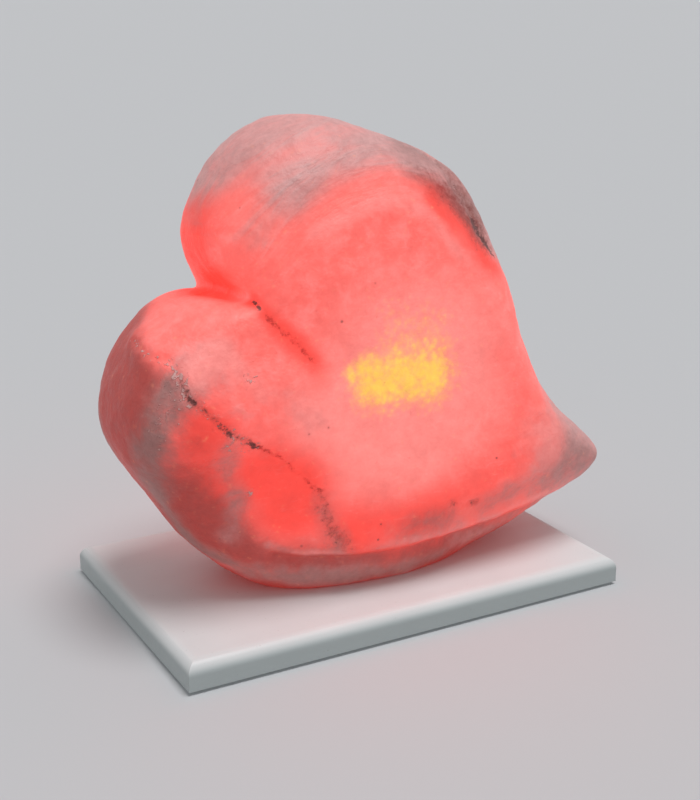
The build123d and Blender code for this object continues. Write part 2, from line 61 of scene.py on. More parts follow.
class Field(str, Enum):
    """The numbers that the heart's mesh keeps at each vertex for its material."""

    CORE = "core"
    HALO = "halo"
    DEEP = "deep"
    LIT = "lit"
    SHADE = "shade"
    CRUST = "crust"
    GREY = "grey"
    SMEAR = "smear"
    RUST = "rust"
    VEIN = "vein"
    CHIPS_AND_GLINTS = "chips"
    BORE = "bore"
    BRUSHED = "brushed"
    RING = "ring"
    TURN = "turn"
    DEPTH = "depth"


# ---------------------------------------------------------------- working with meshes


def only(piece: bpy.types.Object) -> None:
    """Makes a piece the only one selected, and active.

    Args:
        piece: The object to work on.
    """
    if bpy.context.mode != "OBJECT":
        bpy.ops.object.mode_set(mode="OBJECT")
    bpy.ops.object.select_all(action="DESELECT")
    piece.select_set(True)
    bpy.context.view_layer.objects.active = piece


def copy_of_node(node: str, name: str) -> bpy.types.Object:
    """Copies a node of the frame as a new piece with its loose triangles merged.

    Args:
        node: The node's name.
        name: The new piece's name.

    Returns:
        The new piece.
    """
    piece = bpy.data.objects.new(name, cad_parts[node].data.copy())
    piece.data.name = name
    piece.data.materials.clear()
    bpy.context.scene.collection.objects.link(piece)
    only(piece)
    if piece.data.has_custom_normals:
        bpy.ops.mesh.customdata_custom_splitnormals_clear()
    bpy.ops.object.mode_set(mode="EDIT")
    bpy.ops.mesh.select_all(action="SELECT")
    bpy.ops.mesh.remove_doubles(threshold=MERGE_DISTANCE)
    bpy.ops.object.mode_set(mode="OBJECT")
    return piece


def modify(piece: bpy.types.Object, kind: str, **settings: object) -> None:
    """Adds a modifier to a piece and applies it at once.

    Args:
        piece: The piece to change.
        kind: The modifier's type.
        **settings: The modifier's own properties.
    """
    only(piece)
    modifier = piece.modifiers.new(kind.title(), kind)
    for key, value in settings.items():
        setattr(modifier, key, value)
    bpy.ops.object.modifier_apply(modifier=modifier.name)


def read_vectors(rows: bpy.types.bpy_prop_collection, key: str) -> np.ndarray:
    """Reads a vector for each vertex of a mesh.

    Args:
        rows: The mesh's vertices, or its normals at them.
        key: The property that holds the vector.

    Returns:
        One row of x, y and z for each vertex.
    """
    values = np.empty(len(rows) * 3, np.float32)
    rows.foreach_get(key, values)
    return values.reshape(-1, 3).astype(float)


def read_points(piece: bpy.types.Object) -> np.ndarray:
    """Reads a piece's vertices."""
    return read_vectors(piece.data.vertices, "co")


def write_points(piece: bpy.types.Object, points: np.ndarray) -> None:
    """Moves a piece's vertices to the given rows of x, y and z."""
    piece.data.vertices.foreach_set("co", points.astype(np.float32).ravel())
    piece.data.update()


def write_field(piece: bpy.types.Object, field: Field, values: np.ndarray) -> None:
    """Keeps one number for each vertex as an attribute of the mesh."""
    kept = piece.data.attributes.new(field.value, "FLOAT", "POINT")
    kept.data.foreach_set("value", values.astype(np.float32))


def write_weights(piece: bpy.types.Object, name: str, weights: np.ndarray) -> None:
    """Keeps how much a modifier may move each vertex, in tenths, as a vertex group.

    Args:
        piece: The piece to mark.
        name: The group's name.
        weights: One number from 0 to 1 for each vertex.
    """
    group = piece.vertex_groups.new(name=name)
    for tenths in range(1, 11):
        chosen = np.nonzero(np.round(weights * 10) == tenths)[0]
        group.add(chosen.tolist(), tenths / 10, "REPLACE")


def choose_faces(piece: bpy.types.Object, chosen: np.ndarray) -> None:
    """Selects some faces of the active piece, and leaves it in edit mode.

    Args:
        piece: The active piece.
        chosen: True for each face to select.
    """
    bpy.ops.object.mode_set(mode="EDIT")
    bpy.ops.mesh.select_mode(type="FACE")
    bpy.ops.mesh.select_all(action="DESELECT")
    bpy.ops.object.mode_set(mode="OBJECT")
    piece.data.polygons.foreach_set("select", chosen)
    bpy.ops.object.mode_set(mode="EDIT")


def hand_over(piece: bpy.types.Object, finish: Finish, node: str, smooth_below: float) -> None:
    """Gives a finished piece its material and its place on the stand.

    Args:
        piece: The finished piece.
        finish: The finish that it wears.
        node: The node that it stands for.
        smooth_below: Edges flatter than this angle, in degrees, are shaded smooth.
    """
    only(piece)
    bpy.ops.object.shade_smooth_by_angle(angle=math.radians(smooth_below))
    piece.data.materials.clear()
    piece.data.materials.append(finish.material())
    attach(piece, STAND)
    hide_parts(node)
    LOG.info("%s: %d faces, on %s", piece.name, len(piece.data.polygons), STAND)


# ---------------------------------------------------------------- finishes


class Graph:
    """The nodes of one material, ending in a Principled shader."""

    def __init__(self, name: str) -> None:
        """Starts a material.

        Args:
            name: The material's name.
        """
        self.material = bpy.data.materials.new(name)
        self.material.use_nodes = True
        self.tree = self.material.node_tree
        self.shader = self.tree.nodes["Principled BSDF"]
        self.place = self.add("ShaderNodeTexCoord").outputs["Object"]

    def add(self, kind: str, **settings: object) -> bpy.types.Node:
        """Adds a node.

        Args:
            kind: The node's type.
            **settings: The node's own properties.

        Returns:
            The new node.
        """
        node = self.tree.nodes.new(kind)
        for key, value in settings.items():
            setattr(node, key, value)
        return node

    def feed(self, socket: bpy.types.NodeSocket, value: object) -> None:
        """Links a socket, or sets it where the value is plain.

        Args:
            socket: The socket to fill.
            value: Another node's output, a number, or a colour of three numbers.
        """
        if isinstance(value, bpy.types.NodeSocket):
            self.tree.links.new(value, socket)
        elif isinstance(value, tuple) and len(value) == 3 and socket.type == "RGBA":
            socket.default_value = (*value, 1.0)
        else:
            socket.default_value = value

    def set(self, **values: object) -> None:
        """Fills sockets of the Principled shader by name, with underscores for spaces."""
        for key, value in values.items():
            self.feed(self.shader.inputs[key.replace("_", " ")], value)

    def stretched(self, scale: Place, turn: Place = (0.0, 0.0, 0.0)) -> bpy.types.NodeSocket:
        """Object coordinates, scaled and turned.

        Args:
            scale: Factors along the three axes.
            turn: Angles round the three axes, in degrees.

        Returns:
            The vector.
        """
        node = self.add("ShaderNodeMapping")
        self.feed(node.inputs["Vector"], self.place)
        node.inputs["Scale"].default_value = scale
        node.inputs["Rotation"].default_value = [math.radians(a) for a in turn]
        return node.outputs["Vector"]

    def noise(
        self,
        size: float,
        detail: float = 3.0,
        roughness: float = 0.5,
        distortion: float = 0.0,
        at: bpy.types.NodeSocket | None = None,
    ) -> bpy.types.NodeSocket:
        """Soft noise from 0 to 1.

        Args:
            size: Size of its largest forms, in metres.
            detail: How many octaves it has.
            roughness: How strong the small octaves are.
            distortion: How much it swirls.
            at: Coordinates, or Object coordinates if left out.

        Returns:
            The noise.
        """
        node = self.add("ShaderNodeTexNoise")
        self.feed(node.inputs["Vector"], at or self.place)
        node.inputs["Scale"].default_value = 1.0 / size
        node.inputs["Detail"].default_value = detail
        node.inputs["Roughness"].default_value = roughness
        node.inputs["Distortion"].default_value = distortion
        return node.outputs["Fac"]

    def cells(self, size: float, feature: str = "F1", output: str = "Distance") -> bpy.types.NodeSocket:
        """A Voronoi pattern on Object coordinates.

        Args:
            size: Size of a cell, in metres.
            feature: Which distance it measures.
            output: Which output to read.

        Returns:
            The chosen output.
        """
        node = self.add("ShaderNodeTexVoronoi", feature=feature)
        self.feed(node.inputs["Vector"], self.place)
        node.inputs["Scale"].default_value = 1.0 / size
        return node.outputs[output]

    def sum(self, kind: str, *values: object) -> bpy.types.NodeSocket:
        """Arithmetic on one to three values.

        Args:
            kind: The operation.
            *values: Outputs or numbers.

        Returns:
            The result.
        """
        node = self.add("ShaderNodeMath", operation=kind)
        for socket, value in zip(node.inputs, values):
            self.feed(socket, value)
        return node.outputs["Value"]

    def between(
        self, value: bpy.types.NodeSocket, low: float, high: float, to: tuple[float, float] = (0.0, 1.0)
    ) -> bpy.types.NodeSocket:
        """A smooth step from one level to another.

        Args:
            value: What to read.
            low: Where the step starts.
            high: Where it ends.
            to: The values before and after the step.

        Returns:
            The stepped value.
        """
        node = self.add("ShaderNodeMapRange", interpolation_type="SMOOTHSTEP")
        self.feed(node.inputs["Value"], value)
        node.inputs["From Min"].default_value = low
        node.inputs["From Max"].default_value = high
        node.inputs["To Min"].default_value = to[0]
        node.inputs["To Max"].default_value = to[1]
        return node.outputs["Result"]

    def lerp(self, share: object, first: object, second: object) -> bpy.types.NodeSocket:
        """Mixes two numbers.

        Args:
            share: How much of the second number.
            first: The first number.
            second: The second number.

        Returns:
            The mixed number.
        """
        node = self.add("ShaderNodeMix", data_type="FLOAT")
        self.feed(node.inputs[0], share)
        self.feed(node.inputs[2], first)
        self.feed(node.inputs[3], second)
        return node.outputs[0]

    def mix(
        self, share: object, first: object, second: object, blend: str = "MIX"
    ) -> bpy.types.NodeSocket:
        """Mixes two colours.

        Args:
            share: How much of the second colour.
            first: The first colour.
            second: The second colour.
            blend: How they are mixed.

        Returns:
            The mixed colour.
        """
        node = self.add("ShaderNodeMix", data_type="RGBA", blend_type=blend)
        self.feed(node.inputs["Factor"], share)
        self.feed(node.inputs[6], first)
        self.feed(node.inputs[7], second)
        return node.outputs[2]

    def grey(self, value: bpy.types.NodeSocket) -> bpy.types.NodeSocket:
        """Turns a value into a grey.

        Args:
            value: How bright it is.

        Returns:
            The grey as a vector of three equal numbers.
        """
        node = self.add("ShaderNodeCombineXYZ")
        for socket in node.inputs:
            self.feed(socket, value)
        return node.outputs["Vector"]

    def field(self, field: Field) -> bpy.types.NodeSocket:
        """Reads an attribute of the mesh."""
        return self.add("ShaderNodeAttribute", attribute_name=field.value).outputs["Fac"]

    def bumps(self, *layers: tuple[bpy.types.NodeSocket, float]) -> None:
        """Puts relief on the shader.

        Args:
            *layers: Pairs of a height from 0 to 1 and its depth in metres.
        """
        normal = None
        for height, depth in layers:
            node = self.add("ShaderNodeBump")
            node.inputs["Distance"].default_value = depth
            self.feed(node.inputs["Height"], height)
            if normal:
                self.feed(node.inputs["Normal"], normal)
            normal = node.outputs["Normal"]
        self.set(Normal=normal)


@dataclass(frozen=True)
class Finish:
    """A finish, made once and worn by every piece that asks for it."""

    slot: str

    def material(self) -> bpy.types.Material:
        """Builds the finish's material the first time it is asked for.

        Returns:
            The material, the same each time.
        """
        name = f"{type(self).__name__}_{self.slot}"
        known = bpy.data.materials.get(name)
        if known:
            return known
        graph = Graph(name)
        self.paint(graph)
        return graph.material

    def paint(self, graph: Graph) -> None:
        """Lays the finish down on a material's nodes."""
        raise NotImplementedError


@dataclass(frozen=True)
class Layer:
    """A layer of the salt: its surface, and the light that shines out through it."""

    surface: Colour
    light: Colour
    reach: float = 0.0  # how far noise tears its edge
    low: float = 0.0  # level at which it starts
    high: float = 1.0  # level at which it is whole
    most: float = 1.0  # how much it covers there

    def share(self, graph: Graph, level: bpy.types.NodeSocket) -> bpy.types.NodeSocket:
        """How much the layer covers of those below it, by the level that decides where it lies."""
        return graph.between(level, self.low, self.high, (0.0, self.most))

    def torn(self, graph: Graph, field: Field, noise: bpy.types.NodeSocket) -> bpy.types.NodeSocket:
        """How much the layer covers where it is painted on the mesh and torn by noise round 0."""
        return self.share(graph, graph.sum("MULTIPLY_ADD", noise, self.reach, graph.field(field)))


@dataclass(frozen=True)
class RockSalt(Finish):
    """Carved rock salt with a lamp inside: lit coral red, with a pale crust and dark veins."""

    # each layer's light is painted glow: the bulb's light coming out through the salt, painted as emission
    coral: Layer = Layer((0.48, 0.165, 0.145), (0.84, 0.078, 0.066))
    frosted: Layer = Layer((0.54, 0.250, 0.235), (0.82, 0.150, 0.140), low=0.42, high=0.75, most=0.7)
    wisps: Layer = Layer((0.54, 0.250, 0.235), (0.82, 0.150, 0.140), low=0.54, high=0.74, most=0.42)
    halo: Layer = Layer((0.52, 0.200, 0.185), (0.84, 0.175, 0.155), reach=0.4)
    # deep red of the salt, and painted shade along the valley between the lobes and in the groove under the
    # lip
    deep: Layer = Layer((0.42, 0.056, 0.044), (0.82, 0.046, 0.034), reach=0.7, high=0.9)
    shade: Layer = Layer((0.31, 0.090, 0.078), (0.21, 0.006, 0.004), reach=1.5, high=0.95)
    crust: Layer = Layer((0.63, 0.395, 0.385), (0.15, 0.030, 0.027), reach=1.1, low=0.04, high=0.9)
    grey: Layer = Layer((0.44, 0.270, 0.255), (0.07, 0.004, 0.003), reach=1.3, low=0.1, high=0.85)
    lit: Layer = Layer((0.56, 0.280, 0.260), (0.62, 0.100, 0.090), reach=1.0, low=0.1)
    ember: Layer = Layer((0.50, 0.230, 0.150), (0.84, 0.270, 0.120), low=0.08, high=0.78)
    flame: Layer = Layer((0.50, 0.260, 0.090), (0.84, 0.500, 0.065), low=0.44, high=1.12)
    # painted glow inside the bore, where the bulb's light falls
    bore: Layer = Layer((0.60, 0.300, 0.200), (0.75, 0.260, 0.110))
    rust: Layer = Layer((0.20, 0.022, 0.016), (0.44, 0.010, 0.007), reach=2.2, low=0.35, high=0.95, most=0.9)
    # pale chips of the salt, and two painted glints
    chips: Layer = Layer((0.66, 0.47, 0.45), (0.16, 0.055, 0.050), reach=2.6, low=0.62, high=0.95, most=0.85)
    stain: Layer = Layer((0.125, 0.058, 0.046), (0.13, 0.006, 0.004), reach=1.6, low=0.15, high=1.1, most=0.8)
    soot: Layer = Layer((0.070, 0.044, 0.040), (0.06, 0.003, 0.002), reach=1.8, low=0.5, high=0.85, most=0.92)

    cloud_size: float = 30.0 * MM
    mottle_size: float = 11.0 * MM
    streak_size: float = 7.0  # in the heart's own millimetres, round the tall lobe
    wisp_size: float = 5.0 * MM
    grain_size: float = 4.0 * MM
    fine_size: float = 1.4 * MM
    crumb_size: float = 4.5 * MM
    lump_size: float = 2.6 * MM
    pit_size: float = 2.6 * MM
    flake_size: float = 1.9 * MM
    speck_spacing: float = 8.5 * MM

    def brushed(self, graph: Graph) -> bpy.types.NodeSocket:
        """Mottling that becomes streaks round the tall lobe.

        Args:
            graph: The material's nodes.

        Returns:
            The noise, from 0 to 1.
        """
        round_lobe = graph.add("ShaderNodeCombineXYZ")
        for axis, field in zip("XYZ", (Field.RING, Field.TURN, Field.DEPTH)):
            graph.feed(round_lobe.inputs[axis], graph.field(field))
        streaks = graph.noise(
            self.streak_size, detail=5, roughness=0.62, distortion=0.9, at=round_lobe.outputs["Vector"]
        )
        mottle = graph.noise(self.mottle_size, detail=5, roughness=0.62, distortion=0.3)
        return graph.lerp(graph.field(Field.BRUSHED), mottle, streaks)

    def wisp_share(self, graph: Graph) -> bpy.types.NodeSocket:
        """Pale wisps, weaker where the salt is a deep red.

        Args:
            graph: The material's nodes.

        Returns:
            How much the wisps cover.
        """
        drawn_out = graph.stretched((0.5, 1.0, 1.6), (0, 25, 0))
        wisps = graph.noise(self.wisp_size, detail=5, roughness=0.78, distortion=0.6, at=drawn_out)
        kept = graph.between(graph.field(Field.DEEP), 0.2, 0.9, (1.0, 0.35))
        return graph.sum("MULTIPLY", self.wisps.share(graph, wisps), kept)

    def glow(self, graph: Graph) -> bpy.types.NodeSocket:
        """How near the light is, broken up by the crystals in front of it.

        Args:
            graph: The material's nodes.

        Returns:
            The level that the ember and the flame follow.
        """
        crumbs = graph.sum("SUBTRACT", graph.noise(self.crumb_size, detail=5, roughness=0.72), 0.5)
        lumps = graph.sum("SUBTRACT", 0.4, graph.cells(self.lump_size, feature="SMOOTH_F1"))
        glow = graph.sum("MULTIPLY_ADD", crumbs, 0.9, graph.field(Field.CORE))
        return graph.sum("MULTIPLY_ADD", lumps, 0.45, glow)

    def specks(self, graph: Graph) -> bpy.types.NodeSocket:
        """Rare dark specks all over the salt.

        Args:
            graph: The material's nodes.

        Returns:
            How much the specks cover.
        """
        choice = graph.add("ShaderNodeSeparateColor")
        graph.feed(choice.inputs["Color"], graph.cells(self.speck_spacing, output="Color"))
        rare = graph.between(choice.outputs["Red"], 0.84, 0.9)
        dots = graph.between(graph.cells(self.speck_spacing), 0.03, 0.12, (0.6, 0.0))
        return graph.sum("MULTIPLY", dots, rare)

    def paint(self, graph: Graph) -> None:
        """Lays down the lit body, its halo and core, the crust, the shade and the minerals.

        Args:
            graph: The material's nodes.
        """
        clouds = graph.noise(self.cloud_size, detail=4, roughness=0.55, distortion=0.5)
        grain = graph.noise(self.grain_size, detail=5, roughness=0.65)
        fine = graph.noise(self.fine_size, detail=3, roughness=0.6)
        brushed = self.brushed(graph)
        ragged = graph.sum("MULTIPLY_ADD", graph.sum("ADD", clouds, brushed), 0.5, -0.5)
        pits = graph.sum("SUBTRACT", graph.noise(self.pit_size, detail=4, roughness=0.7), 0.5)
        flakes = graph.sum("SUBTRACT", graph.noise(self.flake_size, detail=3), 0.52)
        chips = self.chips.torn(graph, Field.CHIPS_AND_GLINTS, flakes)
        veiled = graph.between(brushed, 0.3, 0.62, (0.78, 1.0))
        glow = self.glow(graph)

        surface, light = self.coral.surface, self.coral.light
        for layer, share in (
            (self.frosted, self.frosted.share(graph, brushed)),
            (self.halo, self.halo.torn(graph, Field.HALO, ragged)),
            (self.deep, self.deep.torn(graph, Field.DEEP, ragged)),
            (self.wisps, self.wisp_share(graph)),
            (self.shade, self.shade.torn(graph, Field.SHADE, ragged)),
            (self.crust, graph.sum("MULTIPLY", self.crust.torn(graph, Field.CRUST, ragged), veiled)),
            (self.grey, graph.sum("MULTIPLY", self.grey.torn(graph, Field.GREY, ragged), veiled)),
            (self.lit, self.lit.torn(graph, Field.LIT, ragged)),
            (self.ember, self.ember.share(graph, glow)),
            (self.flame, self.flame.share(graph, glow)),
            (self.bore, graph.field(Field.BORE)),
            (self.rust, self.rust.torn(graph, Field.RUST, pits)),
            (self.chips, chips),
            (self.stain, self.stain.torn(graph, Field.SMEAR, pits)),
            (self.soot, graph.sum("MAXIMUM", self.soot.torn(graph, Field.VEIN, pits), self.specks(graph))),
        ):
            surface = graph.mix(share, surface, layer.surface)
            light = graph.mix(share, light, layer.light)
        worn = graph.between(grain, 0.25, 0.75, (0.84, 1.10))
        uneven = graph.between(clouds, 0.2, 0.8, (0.94, 1.06))
        uneven = graph.sum("MULTIPLY", uneven, graph.between(brushed, 0.2, 0.8, (0.88, 1.08)))
        uneven = graph.sum("MULTIPLY", uneven, graph.between(grain, 0.3, 0.7, (0.97, 1.03)))
        graph.set(
            Base_Color=graph.mix(1.0, surface, graph.grey(worn), "MULTIPLY"),
            Emission_Color=graph.mix(1.0, light, graph.grey(uneven), "MULTIPLY"),
            Emission_Strength=1.0,
            Roughness=graph.between(grain, 0.3, 0.75, (0.42, 0.62)),
            Specular_IOR_Level=0.45,
            IOR=1.54,
            Coat_Weight=0.08,
            Coat_Roughness=0.3,
        )
        graph.bumps((brushed, 0.9 * MM), (grain, 0.45 * MM), (fine, 0.12 * MM), (chips, 0.6 * MM))


@dataclass(frozen=True)
class SatinPaint(Finish):
    """White satin paint over a routed wooden board."""

    thin: Colour = (0.77, 0.80, 0.81)
    full: Colour = (0.81, 0.84, 0.85)
    # painted shade: the colour that the board's upright sides are darkened towards
    side_shade: Colour = (0.52, 0.59, 0.60)
    dust: Colour = (0.42, 0.42, 0.42)

    def paint(self, graph: Graph) -> None:
        """Lays down the paint, its brush marks, a little dust and painted shade on the board's sides.

        Args:
            graph: The material's nodes.
        """
        brush = graph.noise(2.2 * MM, detail=4, at=graph.stretched((0.06, 1.0, 1.0)))
        waves = graph.noise(45 * MM, detail=2)
        dusty = graph.noise(0.9 * MM, detail=2)
        normal = graph.add("ShaderNodeNewGeometry").outputs["Normal"]
        split = graph.add("ShaderNodeSeparateXYZ")
        graph.feed(split.inputs["Vector"], normal)
        # painted shade: faces turned sideways, found by their normal, are darkened towards a grey green
        side = graph.between(split.outputs["Z"], 0.1, 0.6, (1.0, 0.0))
        tone = graph.mix(graph.between(waves, 0.3, 0.7), self.thin, self.full)
        tone = graph.mix(graph.sum("MULTIPLY", side, 0.75), tone, self.side_shade)
        tone = graph.mix(graph.between(dusty, 0.72, 0.8), tone, self.dust)
        graph.set(
            Base_Color=tone,
            Roughness=graph.between(brush, 0.3, 0.7, (0.34, 0.46)),
            Specular_IOR_Level=0.5,
        )
        graph.bumps((brush, 0.05 * MM), (waves, 0.5 * MM))


@dataclass(frozen=True)
class Moulded(Finish):
    """A moulded plastic, rubber or ceramic with a fine skin."""

    colour: Colour
    roughness: float
    pebble: float = 0.03 * MM

    def paint(self, graph: Graph) -> None:
        """Lays down the moulding's skin and its faint marks.

        Args:
            graph: The material's nodes.
        """
        skin = graph.noise(0.7 * MM, detail=3)
        flow = graph.noise(14 * MM, detail=2, distortion=1.0)
        darker = tuple(0.9 * c for c in self.colour)
        graph.set(
            Base_Color=graph.mix(graph.between(flow, 0.35, 0.7), self.colour, darker),
            Roughness=graph.between(flow, 0.3, 0.7, (self.roughness, min(1.0, self.roughness + 0.12))),
        )
        graph.bumps((skin, self.pebble))


@dataclass(frozen=True)
class BareMetal(Finish):
    """Pressed or drawn metal with fine scratches and a slight stain."""

    colour: Colour
    roughness: float

    def paint(self, graph: Graph) -> None:
        """Lays down the metal, its scratches and its stain.

        Args:
            graph: The material's nodes.
        """
        scratches = graph.noise(0.5 * MM, detail=4, at=graph.stretched((1.0, 1.0, 0.08)))
        stain = graph.noise(6 * MM, detail=3)
        dull = tuple(0.72 * c for c in self.colour)
        graph.set(
            Base_Color=graph.mix(graph.between(stain, 0.45, 0.75), self.colour, dull),
            Metallic=1.0,
            Roughness=graph.between(scratches, 0.3, 0.7, (self.roughness, self.roughness + 0.16)),
        )
        graph.bumps((scratches, 0.02 * MM))


@dataclass(frozen=True)
class ClearGlass(Finish):
    """Clear blown glass."""

    def paint(self, graph: Graph) -> None:
        """Lays down the glass with the faint waves of blowing.

        Args:
            graph: The material's nodes.
        """
        waves = graph.noise(18 * MM, detail=1)
        graph.set(
            Base_Color=(0.97, 0.99, 0.99),
            Roughness=0.02,
            IOR=1.46,
            Transmission_Weight=1.0,
            Alpha=0.35,
        )
        graph.bumps((waves, 0.15 * MM))


@dataclass(frozen=True)
class HotWire(Finish):
    """A coiled wire that glows."""

    cooler: Colour = (1.0, 0.50, 0.14)
    hotter: Colour = (1.0, 0.80, 0.45)

    def paint(self, graph: Graph) -> None:
        """Lays down the wire, hotter in the middle of its turns.

        Args:
            graph: The material's nodes.
        """
        turns = graph.noise(0.6 * MM, detail=1)
        graph.set(
            Base_Color=(0.30, 0.26, 0.22),
            Emission_Color=graph.mix(graph.between(turns, 0.35, 0.65), self.cooler, self.hotter),
            Emission_Strength=4.0,
            Roughness=0.5,
        )
        graph.bumps((turns, 0.1 * MM))


ROCK_SALT = RockSalt("rock_salt")
WHITE_PAINT = SatinPaint("white_paint")
CLEAR_GLASS = ClearGlass("bulb_glass")
HOLDER_PLASTIC = Moulded("holder_plastic", (0.76, 0.76, 0.73), 0.25)
ZINC_STEEL = BareMetal("zinc_steel", (0.62, 0.63, 0.64), 0.28)
CONTACT_BRASS = BareMetal("contact_brass", (0.83, 0.62, 0.26), 0.25)
WIRE_NICKEL = BareMetal("wire_nickel", (0.56, 0.54, 0.50), 0.3)
NODE_FINISHES: dict[str, Finish] = {
    "board_feet": Moulded("foot_rubber", (0.36, 0.36, 0.35), 0.75, 0.08 * MM),
    "wall_plugs": Moulded("plug_plastic", (0.28, 0.29, 0.30), 0.5),
    "cord_grommet": Moulded("grommet_rubber", (0.62, 0.62, 0.60), 0.6, 0.05 * MM),
    "fixing_screws": ZINC_STEEL,
    "fixing_washers": ZINC_STEEL,
    "cap_screws": ZINC_STEEL,
    "clip_plate": ZINC_STEEL,
    "spring_clips": BareMetal("spring_steel", (0.26, 0.28, 0.33), 0.32),
    "clip_rivets": BareMetal("rivet_aluminium", (0.78, 0.78, 0.79), 0.35),
    "holder_cap": HOLDER_PLASTIC,
    "holder_body": HOLDER_PLASTIC,
    "contact_insert": Moulded("insert_ceramic", (0.74, 0.72, 0.67), 0.65, 0.06 * MM),
    "threaded_sleeve": CONTACT_BRASS,
    "centre_contact": CONTACT_BRASS,
    "terminal_plates": CONTACT_BRASS,
    "terminal_screws": CONTACT_BRASS,
    "bulb_glass": CLEAR_GLASS,
    "bulb_stem": CLEAR_GLASS,
    "bulb_cap_shell": BareMetal("bulb_cap_metal", (0.80, 0.79, 0.76), 0.24),
    "bulb_insulator": Moulded("black_glass", (0.02, 0.02, 0.025), 0.15),
    "bulb_contact": BareMetal("solder", (0.60, 0.60, 0.62), 0.42),
    "lead_wires": WIRE_NICKEL,
    "support_wires": WIRE_NICKEL,
    "filament": HotWire("filament_tungsten"),
}


# ---------------------------------------------------------------- the heart


def smooth_step(low: float, high: float, value: np.ndarray) -> np.ndarray:
    """Rises smoothly from 0 at the low value to 1 at the high one."""
    t = np.clip((value - low) / (high - low), 0.0, 1.0)
    return t * t * (3.0 - 2.0 * t)


@dataclass(frozen=True)
class Stroke:
    """A soft brush stroke on the heart, in millimetres in the heart's own frame."""

    points: tuple[Place, ...]
    radius: float
    softness: float
    amount: float = 1.0
    end: float = 1.0  # share of the amount that is left at its last point

    def nearest(self, places: np.ndarray) -> tuple[np.ndarray, np.ndarray]:
        """Where each place lies from the stroke's middle line.

        Args:
            places: Points in the heart's frame, in millimetres.

        Returns:
            The distance from the line, and the share of its length that lies before it.
        """
        gap = np.full(len(places), np.inf)
        share = np.zeros(len(places))
        runs = list(zip(self.points, self.points[1:] or self.points))
        lengths = [math.dist(start, end) for start, end in runs]
        whole = max(sum(lengths), NEVER_ZERO)
        done = 0.0
        for (start, end), length in zip(runs, lengths):
            a = np.array(start, float)
            run = np.array(end, float) - a
            along = np.clip((places - a) @ run / max(length**2, NEVER_ZERO), 0.0, 1.0)
            here = np.sqrt(((places - a - along[:, None] * run) ** 2).sum(1))
            share = np.where(here < gap, (done + along * length) / whole, share)
            gap = np.minimum(gap, here)
            done += length
        return gap, share

    def strength(self, places: np.ndarray) -> np.ndarray:
        """How strongly the stroke marks each point, from 0 to its amount.

        Args:
            places: Points in the heart's frame, in millimetres.

        Returns:
            One strength for each point.
        """
        gap, share = self.nearest(places)
        mark = 1.0 - smooth_step(self.radius - self.softness, self.radius + self.softness, gap)
        return mark * self.amount * (1.0 + (self.end - 1.0) * share)

    def ridge(self, places: np.ndarray) -> np.ndarray:
        """A rounded height over the stroke at each place, as high as its amount."""
        gap, share = self.nearest(places)
        return self.amount * (1.0 + (self.end - 1.0) * share) * np.exp(-((gap / self.radius) ** 2))


def painted(strokes: tuple[Stroke, ...], places: np.ndarray) -> np.ndarray:
    """Lays several strokes over each other.

    Args:
        strokes: The strokes.
        places: Points in the heart's frame, in millimetres.

    Returns:
        The joint strength at each point, from 0 to 1.
    """
    left = np.ones(len(places))
    for stroke in strokes:
        left *= 1.0 - stroke.strength(places)
    return 1.0 - left


